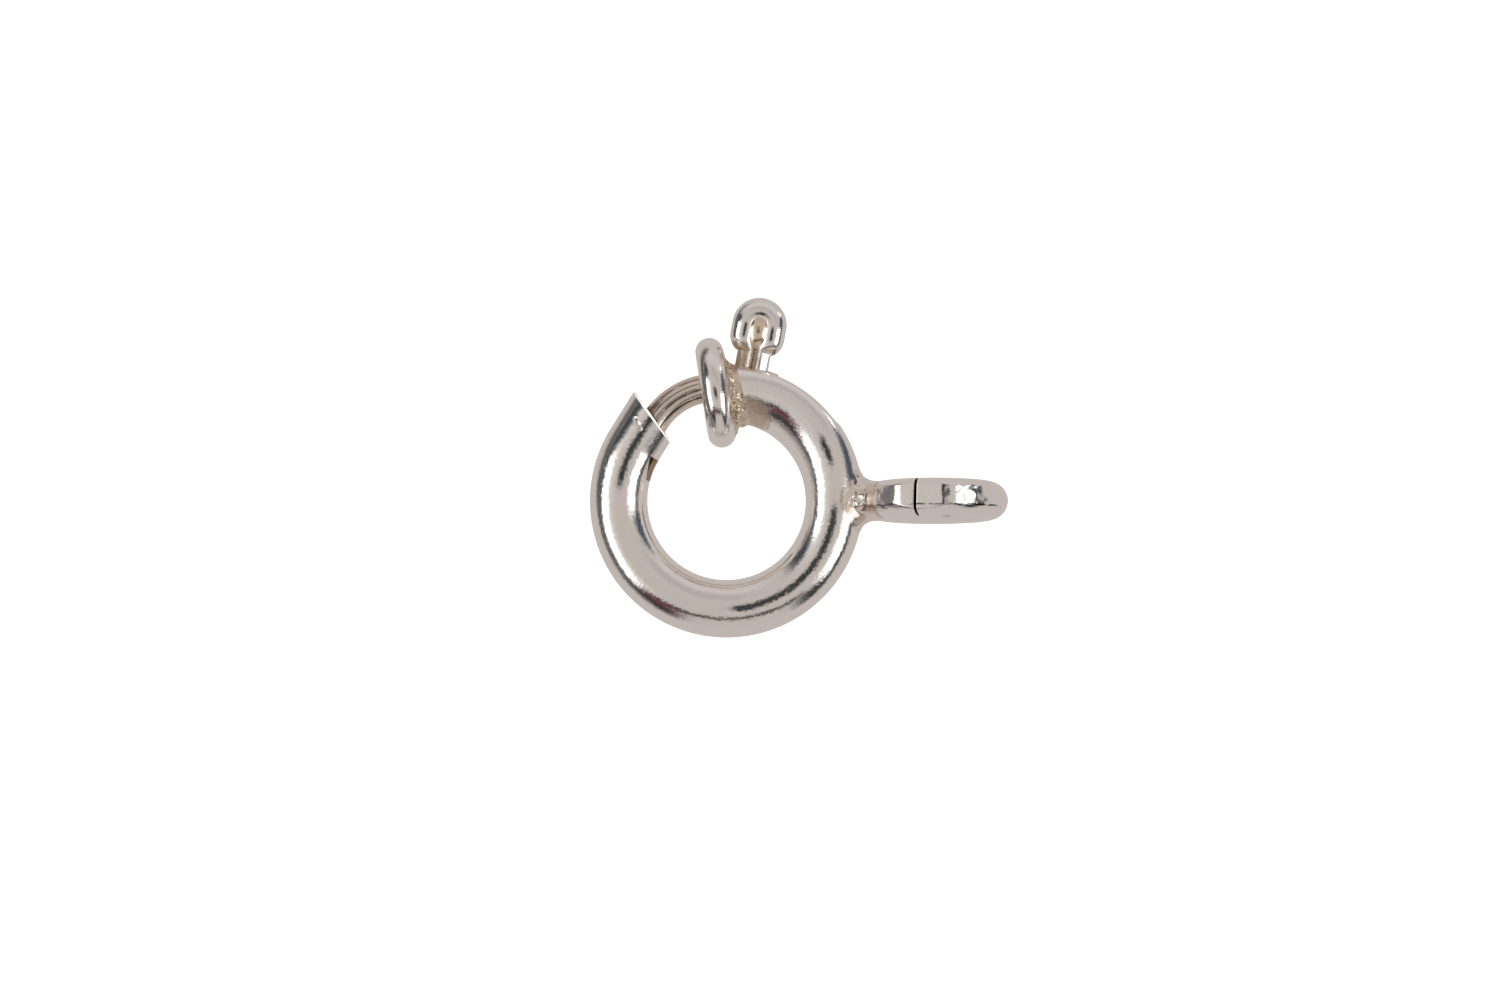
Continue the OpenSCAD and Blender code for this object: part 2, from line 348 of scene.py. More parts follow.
def spin_on(bm, geom, centre, axis, degrees, steps, whole=False):
    """Spins verts or edges on round an axis, into a closed ring if whole, and returns the last copy."""
    spun = bmesh.ops.spin(
        bm,
        geom=geom,
        cent=centre,
        axis=axis,
        angle=math.radians(degrees),
        steps=steps,
        use_merge=whole,
        use_duplicate=False,
    )
    return spun["geom_last"]


def spin_through(bm, geom, centre, axis, stops, step_deg):
    """Spins on from stop to stop, in steps of about step_deg, so that there is an edge at each stop."""
    for start, end in zip(stops, stops[1:]):
        steps = max(1, round(abs(end - start) / step_deg))
        geom = spin_on(bm, geom, centre, axis, end - start, steps)
    return geom


def wire_section(bm, middle, radius, sides):
    """A closed round section in the plane of X and Z, as edges."""
    made = bmesh.ops.create_circle(bm, segments=sides, radius=radius, cap_ends=False)
    turn = Matrix.Translation(middle) @ Matrix.Rotation(math.radians(90), 4, "X")
    bmesh.ops.transform(bm, matrix=turn, verts=made["verts"])
    return bm.edges[:]


def sweep(bm, places, sides):
    """Carries a round section of radius 1 through the places, each a matrix, and shuts both ends."""
    made = bmesh.ops.create_circle(bm, segments=sides, radius=1, cap_ends=True)
    first = made["verts"]
    bmesh.ops.transform(bm, matrix=places[0], verts=first)
    edges = list({e for v in first for e in v.link_edges})
    for before, after in zip(places, places[1:]):
        grown = bmesh.ops.extrude_edge_only(bm, edges=edges)["geom"]
        edges = edges_of(grown)
        bmesh.ops.transform(bm, matrix=after @ before.inverted(), verts=verts_of(grown))
    bmesh.ops.contextual_create(bm, geom=edges)


def aimed(point, ahead, up, half):
    """A section's place: round a point, square to the way ahead, one axis along up, and half its radius."""
    ahead = ahead.normalized()
    side = up.cross(ahead).normalized()
    turn = Matrix((side, ahead.cross(side), ahead)).transposed().to_4x4()
    return Matrix.Translation(point) @ turn @ Matrix.Diagonal((half, half, half, 1))


def ring_gap(outer, wire, place=Matrix()):
    """Makes the function for a point's distance from a wire ring's skin, which is negative inside it."""
    radius, half, back = (outer - wire) / 2, wire / 2, place.inverted()

    def gap(point):
        point = back @ point
        return math.hypot(math.hypot(point.x, point.y) - radius, point.z) - half

    return gap


def filled(a, b, fill):
    """The smaller of two distances, rounded off where both are within fill, as solder fills a corner."""
    overlap = max(fill - abs(a - b), 0) / fill
    return min(a, b) - overlap * overlap * fill / 4


def cut_corners(bm, edges, size, **settings):
    """Bevels edges by size."""
    bmesh.ops.bevel(bm, geom=edges, offset=size, profile=0.5, affect="EDGES", **settings)


def close_up(bm):
    """Merges doubled verts and turns every face outwards."""
    bmesh.ops.remove_doubles(bm, verts=bm.verts, dist=0.0005 * MM)
    bmesh.ops.recalc_face_normals(bm, faces=bm.faces)


def add_piece(bm, name, body, materials, node, sharp_deg=35):
    """Lays a finished mesh down as the clasp rests, and puts it on its body in place of its CAD node."""
    bmesh.ops.transform(bm, matrix=REST, verts=bm.verts)
    mesh = bpy.data.meshes.new(name)
    bm.to_mesh(mesh)
    bm.free()
    mesh.shade_smooth()
    mesh.set_sharp_from_angle(angle=math.radians(sharp_deg))
    for material in materials:
        mesh.materials.append(material)
    piece = bpy.data.objects.new(name, mesh)
    bpy.context.scene.collection.objects.link(piece)
    if body:
        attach(piece, body)
    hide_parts(node)
    return piece


def plug(socket, value):
    """Links a socket to a worked-out value, or sets it to a plain one."""
    if isinstance(value, Value):
        value.tree.links.new(value.socket, socket)
    else:
        socket.default_value = value


def worked_out(tree, kind, inputs, output=0, **settings):
    """Adds a node with these inputs, each by its name or number, and returns what it works out."""
    made = tree.nodes.new(kind)
    for key, value in settings.items():
        setattr(made, key, value)
    for key, value in inputs.items():
        plug(made.inputs[key], value)
    return Value(tree, made.outputs[output])


class Value:
    """A value that a node tree works out, which sums can be done with."""

    def __init__(self, tree, socket):
        self.tree = tree
        self.socket = socket

    def calc(self, operation, *others):
        """Does a sum with this value and the others."""
        return worked_out(self.tree, "ShaderNodeMath", dict(enumerate((self, *others))), operation=operation)

    def __add__(self, other):
        return self.calc("ADD", other)

    def __sub__(self, other):
        return self.calc("SUBTRACT", other)

    def __mul__(self, other):
        return self.calc("MULTIPLY", other)

    def __truediv__(self, other):
        return self.calc("DIVIDE", other)

    __radd__ = __add__


def vector_calc(operation, *vectors, output="Vector"):
    inputs = dict(enumerate(vectors))
    return worked_out(vectors[0].tree, "ShaderNodeVectorMath", inputs, output, operation=operation)


def ramp(value, low, high, to_low=0.0, to_high=1.0):
    """A smooth step from to_low at low to to_high at high."""
    inputs = {"Value": value, "From Min": low, "From Max": high, "To Min": to_low, "To Max": to_high}
    return worked_out(value.tree, "ShaderNodeMapRange", inputs, "Result", interpolation_type="SMOOTHSTEP")


def turned(vector, back=False):
    """Turns a direction or place from the flat ring to the clasp at rest, or back."""
    inputs = {"Vector": vector, "Rotation": TILT.to_euler()}
    return worked_out(vector.tree, "ShaderNodeVectorRotate", inputs, rotation_type="EULER_XYZ", invert=back)


def parts_of(vector):
    """X, Y and Z of a vector."""
    split = worked_out(vector.tree, "ShaderNodeSeparateXYZ", {0: vector}).socket.node
    return [Value(vector.tree, part) for part in split.outputs]


def flat_place(coords):
    """X, Y and Z of a place on the flat ring."""
    return parts_of(turned(vector_calc("SUBTRACT", coords, CENTRE), back=True))


def turn_about(x, y):
    """Degrees anticlockwise from the jump ring's side, from -180 to 180."""
    return y.calc("ARCTAN2", x) * (180 / math.pi)


def turned_from(degrees, about):
    """How far round a direction is from another, to either side."""
    return (degrees - about).calc("WRAP", 180.0, -180.0)


def grain(coords, size, detail=3.0, roughness=0.5):
    """Noise whose lumps are about size across."""
    inputs = {"Vector": coords, "Scale": 1 / size, "Detail": detail, "Roughness": roughness}
    return worked_out(coords.tree, "ShaderNodeTexNoise", inputs, "Fac")


def attribute(tree, name):
    return worked_out(tree, "ShaderNodeAttribute", {}, "Fac", attribute_name=name)


def blend_colour(share, a, b):
    inputs = {"Factor": share, "A": a, "B": b}
    return worked_out(share.tree, "ShaderNodeMix", inputs, "Result", data_type="RGBA")


def bump(height, depth, normal=None):
    inputs = {"Strength": 1.0, "Distance": depth, "Height": height}
    if normal:
        inputs["Normal"] = normal
    return worked_out(height.tree, "ShaderNodeBump", inputs)


def near(coords, place, inner, outer, wobble=0.0):
    """1 within inner of a place on the flat clasp, fading to 0 at outer, with a wobbly edge."""
    away = vector_calc("DISTANCE", coords, REST @ place, output="Value")
    return ramp(away + (grain(coords, WOBBLE_SIZE) - 0.5) * wobble, inner, outer, 1.0, 0.0)


def leaning(tree, *lean):
    """The surface's normal, pushed over by a lean in X, Y and Z of the flat ring."""
    pushed = turned(worked_out(tree, "ShaderNodeCombineXYZ", dict(enumerate(lean))))
    normal = worked_out(tree, "ShaderNodeNewGeometry", {}, "Normal")
    return vector_calc("NORMALIZE", vector_calc("ADD", normal, pushed))


def uneven_ring(coords, radius, skin):
    """The tube's normal: it twists by its collar, dips where WAVES_DEG says and is pinched by its mouth."""
    x, y, z = flat_place(coords)
    degrees = turn_about(x, y)
    start, full, true_again = TWIST_DEG
    grown = ((degrees - start) / (full - start)).calc("MAXIMUM", 0.0).calc("MINIMUM", 1.0)
    twist = grown * ramp(degrees, full, true_again, TWIST_SLOPE, 0.0)
    dip = 0.0
    for about, half in WAVES_DEG:
        off = turned_from(degrees, about).calc("ABSOLUTE")
        dip = ramp(off, half - WAVE_EDGE_DEG, half + WAVE_EDGE_DEG, WAVE_SLOPE, 0.0) + dip
    level = ramp(z, 0.0, UNEVEN_UP * skin)
    turn = degrees.calc("RADIANS")
    sine, cosine = turn.calc("SINE"), turn.calc("COSINE")
    out = (twist + (grain(coords, MARKS_SIZE) - 0.5) * MARKS_SLOPE) * level
    facing_out = (x * cosine + y * sine - radius) / skin + out
    on_crest = ramp(facing_out.calc("ABSOLUTE"), *CREST_REACH, 1.0, 0.0)
    on_inside = ramp(facing_out, -CREST_REACH[1], -CREST_REACH[0], PINCH_SLOPE, 0.0)
    by_mouth = ramp(degrees, true_again, true_again + 1) * ramp(degrees, *PINCH_DEG, 1.0, 0.0)
    along = (on_crest * dip + on_inside * by_mouth) * level
    return leaning(coords.tree, out * cosine - along * sine, out * sine + along * cosine)


def uneven_head(coords):
    """The normal of the trigger's wire, whose bend leans outwards at its top."""
    x, y, _ = flat_place(coords)
    ahead = polar(1, TRIGGER_DEG)
    lean = ramp(x * ahead.x + y * ahead.y, *HEAD_LEAN_OUT, 0.0, HEAD_LEAN)
    return leaning(coords.tree, lean * ahead.x, lean * ahead.y)


def hammered(coords):
    """The normal of the jump ring, whose hammered band faces a little lower than it lies and is marked."""
    band = attribute(coords.tree, "band")
    marks = (grain(coords, BAND_MARK_SIZE) - 0.5) * BAND_MARKS * ramp(band, *BAND_MARKED)
    return leaning(coords.tree, marks, marks - band * BAND_LEAN)


# Painted highlight: leans the chamfer's normal so far one way that it catches the right soft box
def filed_edge_highlight(coords):
    return leaning(coords.tree, *FILED_HIGHLIGHT_LEAN)


def metal(
    name,
    colour,
    polish,
    metallic=1.0,
    uneven=None,
    lumps=0.0,
    dents=(),
    stains=(),
    soil=None,
    lines=None,
    dirt=None,
):
    """A metal with faint ripples and buffing marks, stained and pitted where it was heated.

    Uneven works out its normal from its coordinates, and lumps is how high its grain stands. Dents are laid
    out as DENTS is, and stains as TUBE_STAINS is, in the colour soil. Lines is the mesh attribute that says
    where dirt has settled, which shows in stretches.
    """
    made = bpy.data.materials.new(name)
    made.use_nodes = True
    tree = made.node_tree
    coords = worked_out(tree, "ShaderNodeTexCoord", {}, "Object")
    normal = bump(grain(coords, RIPPLE_SIZE, detail=1), RIPPLE_DEPTH, uneven(coords) if uneven else None)
    normal = bump(grain(coords, BUFFING_SIZE, detail=4, roughness=0.6), BUFFING_DEPTH, normal)
    for place, radius in dents:
        normal = bump(near(coords, place, 0.0, radius), -DENT_DEPTH, normal)
    brightest, dullest = (polish * share for share in CLOUD_RANGE)
    rough = ramp(grain(coords, CLOUD_SIZE, detail=4), *CLOUD_NOISE, brightest, dullest)
    paint = (*colour, 1)
    share = None
    for place, full, clean in stains:
        patch = near(coords, polar(*place), full, clean, WOBBLE * (clean - full))
        share = share.calc("MAXIMUM", patch) if share else patch
    if share:
        blotches = ramp(grain(coords, BLOTCH_SIZE, detail=4), *BLOTCH_NOISE, BLOTCH_LEAST, 1.0)
        rim = ramp(share, *RIM_START) * ramp(share, *RIM_END, RIM_SHARE, 0.0)
        paint = blend_colour(share * blotches, paint, (*soil, 1))
        paint = blend_colour(rim, paint, (*(RIM_SHADE * part for part in soil), 1))
        rough = rough + share * STAIN_ROUGHNESS
        normal = bump(share * grain(coords, PIT_SIZE), PIT_DEPTH, normal)
    if lumps:
        normal = bump(grain(coords, LUMP_SIZE, detail=2), lumps, normal)
    if lines:
        stretches = ramp(grain(coords, CLOUD_SIZE, detail=2), *DIRT_NOISE)
        settled = ramp(attribute(tree, lines), *DIRT_MARK) * stretches
        paint = blend_colour(settled, paint, (*dirt, 1))
    shader = tree.nodes["Principled BSDF"]
    plug(shader.inputs["Base Color"], paint)
    plug(shader.inputs["Metallic"], metallic)
    plug(shader.inputs["Roughness"], rough)
    plug(shader.inputs["Normal"], normal)
    return made


def metres(name, description, default):
    """A size that the user may change, in metres."""
    return FloatProperty(name=name, description=description, default=default, unit="LENGTH")


def tint(name, description, default):
    """A colour that the user may change."""
    return FloatVectorProperty(name=name, description=description, default=default, subtype="COLOR")


class ClaspSizes(bpy.types.PropertyGroup):
    """Sizes of the clasp's pieces."""

    ring_outer: metres("Ring Diameter", "Outer diameter of the ring", 9 * MM)
    tube_thick: metres("Tube Diameter", "Diameter of the tube that the ring is bent from", 1.9 * MM)
    tube_wall: metres("Tube Wall", "Thickness of the tube's wall", 0.17 * MM)
    collar_outer: metres(
        "Collar Diameter", "Outer diameter of the wire ring round the tube's end", 3.65 * MM
    )
    collar_wire: metres("Collar Wire", "Thickness of the collar's wire", 0.92 * MM)
    jump_outer: metres("Jump Ring Diameter", "Outer diameter of the jump ring", 4.85 * MM)
    jump_wire: metres("Jump Ring Wire", "Thickness of the jump ring's wire", 1.24 * MM)
    bolt_thick: metres("Bolt Diameter", "Diameter of the sliding bolt", 0.94 * MM)
    leg_thick: metres("Leg Diameter", "Diameter of each of the trigger's legs", 0.57 * MM)
    spring_outer: metres("Spring Diameter", "Outer diameter of the coil in the tube", 1.36 * MM)
    spring_wire: metres("Spring Wire", "Thickness of the coil's wire", 0.2 * MM)
    spring_turns: IntProperty(
        name="Spring Turns", description="Number of turns of the coil", default=16, min=4, max=30
    )


class ClaspFinish(bpy.types.PropertyGroup):
    """Colours and polish of the clasp and its studio."""

    silver: tint("Silver", "Colour of the polished silver", (0.93, 0.905, 0.875))
    stain: tint("Stain", "Colour of the stained metal by the joints", (0.64, 0.53, 0.41))
    solder: tint("Solder", "Colour of the bare solder", (0.78, 0.68, 0.545))
    drawn: tint("Drawn Silver", "Colour of the drawn wire of the bolt", (0.80, 0.72, 0.63))
    bright_solder: tint(
        "Bright Solder", "Colour of the cleaner solder on the jump ring's joint", (0.88, 0.81, 0.74)
    )
    tarnish: tint("Tarnish", "Colour of the tarnished metal inside the tube", (0.62, 0.47, 0.31))
    filed: tint("Filed Edge", "Colour of the freshly filed edge of the mouth", (0.97, 0.96, 0.94))
    champagne: tint("Bead", "Colour of the bead of solder in the trigger", (0.88, 0.77, 0.61))
    dirt: tint("Dirt", "Colour of the dirt in the bolt's lines and the finest gaps", (0.07, 0.055, 0.04))
    steel: tint("Spring Steel", "Colour of the coil", (0.62, 0.60, 0.57))
    polish: FloatProperty(
        name="Polish Roughness",
        description="Roughness of the polished silver",
        default=0.08,
        min=0.02,
        max=0.6,
        subtype="FACTOR",
    )
    room: tint("Room", "Colour of the pale room round the clasp", (0.541, 0.498, 0.472))
    floor: tint("Floor", "Colour of the floor", (0.86, 0.85, 0.845))
    floor_below: tint("Floor Glow", "Light that the floor throws up on the clasp", (0.555, 0.508, 0.49))


def ring_radius(sizes):
    return (sizes.ring_outer - sizes.tube_thick) / 2


def collar_place():
    """From a wire ring round Z to the collar round the tube's end."""
    return (
        Matrix.Translation(polar(COLLAR_OUT, COLLAR_DEG))
        @ Matrix.Rotation(math.radians(COLLAR_DEG + COLLAR_LEAN_DEG), 4, "Z")
        @ Matrix.Rotation(math.radians(90), 4, "X")
    )


def jump_place(sizes):
    """From a wire ring round Z to the jump ring, whose wire bites halfway into the tube's wall."""
    out = (sizes.ring_outer - sizes.tube_wall + sizes.jump_outer) / 2
    return Matrix.Translation((out, 0, 0)) @ Matrix.Rotation(math.radians(90 - JUMP_LEAN_DEG), 4, "X")


class CLASP_OT_tube(bpy.types.Operator):
    """Bend the hollow ring tube, with its mouth, its seam and the slot for the trigger"""

    bl_idname = "clasp.tube"
    bl_label = "Ring Tube"

    def execute(self, context):
        sizes, finish = context.scene.clasp_sizes, context.scene.clasp_finish
        radius, skin = ring_radius(sizes), sizes.tube_thick / 2
        bm = bmesh.new()
        loop = self.section(bm, radius, skin)
        self.bend(bm, loop, sizes)
        self.cut_slot(bm, sizes, radius, skin)
        self.open_seam(bm, radius, skin)
        close_up(bm)
        bmesh.ops.solidify(bm, geom=bm.faces[:], thickness=sizes.tube_wall)
        self.finish_mouth(bm, sizes, radius, skin)
        self.groove_seam(bm, radius, skin)
        for face in bm.faces:
            middle = face.calc_center_median()
            deep = skin - (middle - self.axis_point(middle, radius)).length
            if deep > sizes.tube_wall / 4 and face.material_index == 0:
                face.material_index = 1
        silver = metal(
            "PolishedSilver",
            finish.silver,
            finish.polish,
            uneven=partial(uneven_ring, radius=radius, skin=skin),
            dents=DENTS,
            stains=TUBE_STAINS,
            soil=finish.stain,
            lines="seam_line",
            dirt=finish.tarnish,
        )
        bore = metal("BoreSilver", finish.tarnish, polish=0.4, metallic=0.2, lumps=0.01 * MM)
        filed = metal("FiledSilverHighlight", finish.filed, polish=0.25, uneven=filed_edge_highlight)
        add_piece(bm, "ring_tube", "ring", (silver, bore, filed), "clasp_ring")
        return {"FINISHED"}

    def slot_corners(self):
        """The corners of the slot's round end, each as how far round from its tip and how far up."""
        half = SLOT_WIDTH / 2
        turns = [math.pi * (k / SLOT_END_STEPS - 0.5) for k in range(SLOT_END_STEPS + 1)]
        return [(half * (1 - math.cos(turn)), half * math.sin(turn)) for turn in turns]

    def slot_stops(self, sizes):
        """Ring angles of the steps of each round end of the slot."""
        rounds = [math.degrees(far / (sizes.ring_outer / 2)) for far, _ in self.slot_corners()]
        steps = sorted({round(r, 5) for r in rounds})
        return [SLOT_DEG[0] + s for s in steps], [SLOT_DEG[1] - s for s in reversed(steps)]

    def section(self, bm, radius, skin):
        """The tube's section where it starts to bend, with corners where the slot and seam will be."""
        slot = [math.degrees(math.asin(up / skin)) for _, up in self.slot_corners()]
        groove = math.degrees(SEAM_GROOVE_WIDTH / 2 / skin)
        seam = (SEAM_DEG - groove, SEAM_DEG, SEAM_DEG + groove)
        middle = Vector((radius, 0, 0))
        start = math.radians(slot[0])
        first = bm.verts.new(middle + Vector((math.cos(start), 0, math.sin(start))) * skin)
        stops = (*slot, *seam, SEAM_SLIT_FOOT_DEG, 360 + slot[0])
        spin_through(bm, [first], middle, (0, -1, 0), stops, SKIN_STEP_DEG)
        bmesh.ops.remove_doubles(bm, verts=bm.verts, dist=0.001 * MM)
        turn_all(bm, STRAIGHT_DEG)
        return bm.edges[:]

    def bend(self, bm, loop, sizes):
        """Bends the tube round to its end in the collar, and runs it on straight to the mouth."""
        start, end = self.slot_stops(sizes)
        slot = [360 + degrees for degrees in (*start, *end)]
        stops = (STRAIGHT_DEG, *SEAM_SLIT_DEG, *slot, 360 + TUBE_END_DEG)
        spin_through(bm, loop, (0, 0, 0), UP, stops, BEND_STEP_DEG)
        for back in (MOUTH_LIP, 0.0):
            grown = bmesh.ops.extrude_edge_only(bm, edges=loop)["geom"]
            loop = edges_of(grown)
            for vert in verts_of(grown):
                vert.co = self.on_mouth(vert.co, back)

    def on_mouth(self, point, back=0.0):
        """The point slid along the straight end to the plane of the mouth, or a little back from it."""
        facing, ahead = polar(1, MOUTH_FACING_DEG), polar(1, STRAIGHT_DEG - 90)
        return point + ahead * ((polar(*MOUTH_MIDDLE) - point).dot(facing) / ahead.dot(facing) - back)

    def cut_slot(self, bm, sizes, radius, skin):
        """Opens the slot in the outer side that the trigger's legs run in."""
        outer, half = sizes.ring_outer / 2, SLOT_WIDTH / 2
        for end, way in zip(SLOT_DEG, (1, -1)):
            row = []
            for far, up in self.slot_corners():
                out = radius + math.sqrt(skin * skin - up * up)
                place = polar(out, end + way * math.degrees(far / outer), up)
                row.append(min(bm.verts, key=lambda v: (v.co - place).length_squared))
            for a, b in zip(row, row[1:]):
                bmesh.ops.connect_vert_pair(bm, verts=[a, b])

        def in_slot(face):
            middle = face.calc_center_median()
            degrees = ring_angle(middle)
            if abs(section_angle(middle, radius)) > 90 or abs(middle.z) > half:
                return False
            run = math.radians(min(degrees - SLOT_DEG[0], SLOT_DEG[1] - degrees)) * outer
            return run > half or run >= 0 and math.hypot(half - run, middle.z) < half

        bmesh.ops.delete(bm, geom=[f for f in bm.faces if in_slot(f)], context="FACES")

    def open_seam(self, bm, radius, skin):
        """Opens the stretch of seam behind the mouth, which gets narrower away from it."""
        near_end, far_end = (
            polar(radius + skin * math.cos(math.radians(down)), degrees, skin * math.sin(math.radians(down)))
            for degrees, down in zip(SEAM_SLIT_DEG, SEAM_SLIT_TOP_DEG)
        )
        out = near_end + far_end - polar(2 * radius, sum(SEAM_SLIT_DEG) / 2)
        below = out.cross(far_end - near_end).normalized()

        def behind_mouth():
            """The tube's inner side as far as the slit reaches along it, as faces and their middles."""
            places = [(f, f.calc_center_median()) for f in bm.faces]
            return [
                (f, place)
                for f, place in places
                if SEAM_SLIT_DEG[0] < ring_angle(place) < SEAM_SLIT_DEG[1]
                and 90 < section_angle(place, radius) % 360 < SEAM_SLIT_FOOT_DEG
            ]

        faces = [f for f, _ in behind_mouth()]
        around = {part for f in faces for part in (*f.edges, *f.verts)}
        geom = [*faces, *around]
        bmesh.ops.bisect_plane(bm, geom=geom, dist=0.001 * MM, plane_co=near_end, plane_no=below)
        slit = [f for f, place in behind_mouth() if (place - near_end).dot(below) > 0]
        bmesh.ops.delete(bm, geom=slit, context="FACES")

    def axis_point(self, point, radius):
        """The nearest point of the tube's axis, which is straight behind the mouth."""
        start, ahead = polar(radius, STRAIGHT_DEG), polar(1, STRAIGHT_DEG - 90)
        along = (point - start).dot(ahead)
        if 0 < along < radius and point.y > 0 and point.x < 0:
            return start + ahead * along
        return polar(radius, ring_angle(point))

    def finish_mouth(self, bm, sizes, radius, skin):
        """Squares the wall's rim to the mouth and files a chamfer round its outer edge."""
        mouth, facing = polar(*MOUTH_MIDDLE), polar(1, MOUTH_FACING_DEG)
        rim = {
            v
            for v in bm.verts
            if abs((v.co - mouth).dot(facing)) < MOUTH_LIP / 2 and (v.co - mouth).length < sizes.tube_thick
        }
        for vert in rim:
            vert.co = self.on_mouth(vert.co)
        least = skin - sizes.tube_wall / 2
        outer = {v for v in rim if (v.co - self.axis_point(v.co, radius)).length > least}
        edges = [
            e
            for e in bm.edges
            if outer.issuperset(e.verts) and sum(rim.issuperset(f.verts) for f in e.link_faces) == 1
        ]
        cut_corners(bm, edges, MOUTH_CHAMFER, segments=1, material=2, clamp_overlap=False)

    def groove_seam(self, bm, radius, skin):
        """Sinks the closed stretch of seam into a fine groove, and marks it for the dirt that it holds."""
        mark = bm.verts.layers.float.new("seam_line")
        for vert in bm.verts:
            degrees = ring_angle(vert.co)
            middle = polar(radius, degrees)
            on_skin = (vert.co - middle).length > skin - NEAR_SKIN
            on_seam = abs(section_angle(vert.co, radius) - SEAM_DEG) < NEAR_SEAM_DEG
            if on_skin and on_seam and SEAM_SLIT_DEG[1] < degrees < SEAM_GROOVE_END_DEG:
                vert.co += (middle - vert.co).normalized() * SEAM_GROOVE_DEPTH
                vert[mark] = 1


class CLASP_OT_collar(bpy.types.Operator):
    """Form the wire collar round the tube's end"""

    bl_idname = "clasp.collar"
    bl_label = "Collar"

    def execute(self, context):
        sizes, finish = context.scene.clasp_sizes, context.scene.clasp_finish
        middle = Vector(((sizes.collar_outer - sizes.collar_wire) / 2, 0, 0))
        bm = bmesh.new()
        section = wire_section(bm, middle, sizes.collar_wire / 2, sides=64)
        spin_on(bm, section, (0, 0, 0), UP, 360, steps=160, whole=True)
        close_up(bm)
        bmesh.ops.transform(bm, matrix=collar_place(), verts=bm.verts)
        silver = metal("CollarSilver", finish.silver, finish.polish, stains=COLLAR_STAINS, soil=finish.stain)
        add_piece(bm, "collar", "ring", (silver,), "clasp_ring")
        return {"FINISHED"}


class CLASP_OT_jump_ring(bpy.types.Operator):
    """Form the jump ring, with its closed cut and the flats that the pliers left beside it"""

    bl_idname = "clasp.jump_ring"
    bl_label = "Jump Ring"

    def execute(self, context):
        sizes, finish = context.scene.clasp_sizes, context.scene.clasp_finish
        radius = (sizes.jump_outer - sizes.jump_wire) / 2
        half_cut = math.degrees(JUMP_CUT_WIDTH / 2 / radius)
        bm = bmesh.new()
        first = wire_section(bm, Vector((radius, 0, 0)), sizes.jump_wire / 2, sides=108)
        turn_all(bm, JUMP_CUT_DEG + half_cut)
        last = edges_of(spin_on(bm, first, (0, 0, 0), UP, 360 - 2 * half_cut, steps=240))
        self.flatten(bm, sizes.jump_outer / 2)
        ends = [bmesh.ops.contextual_create(bm, geom=edges)["faces"][0] for edges in (first, last)]
        close_up(bm)
        for face in ends:
            face.material_index = 1
        rims = [e for face in ends for e in face.edges]
        cut_corners(bm, rims, JUMP_CUT_ROUNDING, segments=3, material=-1, clamp_overlap=True)
        bmesh.ops.transform(bm, matrix=jump_place(sizes), verts=bm.verts)
        silver = metal(
            "JumpRingSilver",
            finish.silver,
            finish.polish,
            uneven=hammered,
            stains=JUMP_RING_STAINS,
            soil=finish.stain,
            lines="band_edge",
            dirt=finish.dirt,
        )
        cut = metal("JumpCut", finish.dirt, polish=0.4)
        add_piece(bm, "jump_ring", "ring", (silver, cut), "clasp_ring")
        return {"FINISHED"}

    def flatten(self, bm, outer):
        """Hammers a band along the top, whose lower edge holds dirt, and presses a flat across the cut."""
        band = bm.verts.layers.float.new("band")
        edge = bm.verts.layers.float.new("band_edge")
        tilt = math.radians(BAND_TILT_DEG)
        for vert in bm.verts:
            degrees = ring_angle(vert.co)
            fade = smoothstep(*BAND_START_DEG, degrees) * smoothstep(*BAND_END_DEG, degrees)
            facing = polar(math.cos(tilt), degrees, -math.sin(tilt))
            proud = vert.co.dot(facing) - (outer - BAND_DEPTH) + layered_noise(vert.co, BAND_LUMPS)
            vert[band] = fade * smoothstep(-BAND_EDGE / 2, BAND_EDGE / 2, proud)
            if vert.co.z > 0:
                vert[edge] = fade * max(0.0, 1 - abs(proud) / BAND_EDGE)
            if proud > 0:
                vert.co -= facing * proud * fade
        flat = polar(math.cos(tilt), FACET_DEG, -math.sin(tilt))
        for vert in bm.verts:
            proud = vert.co.dot(flat) - (outer - FACET_DEPTH)
            if proud > 0:
                vert.co -= flat * proud
                vert[band] *= FACET_SHARE


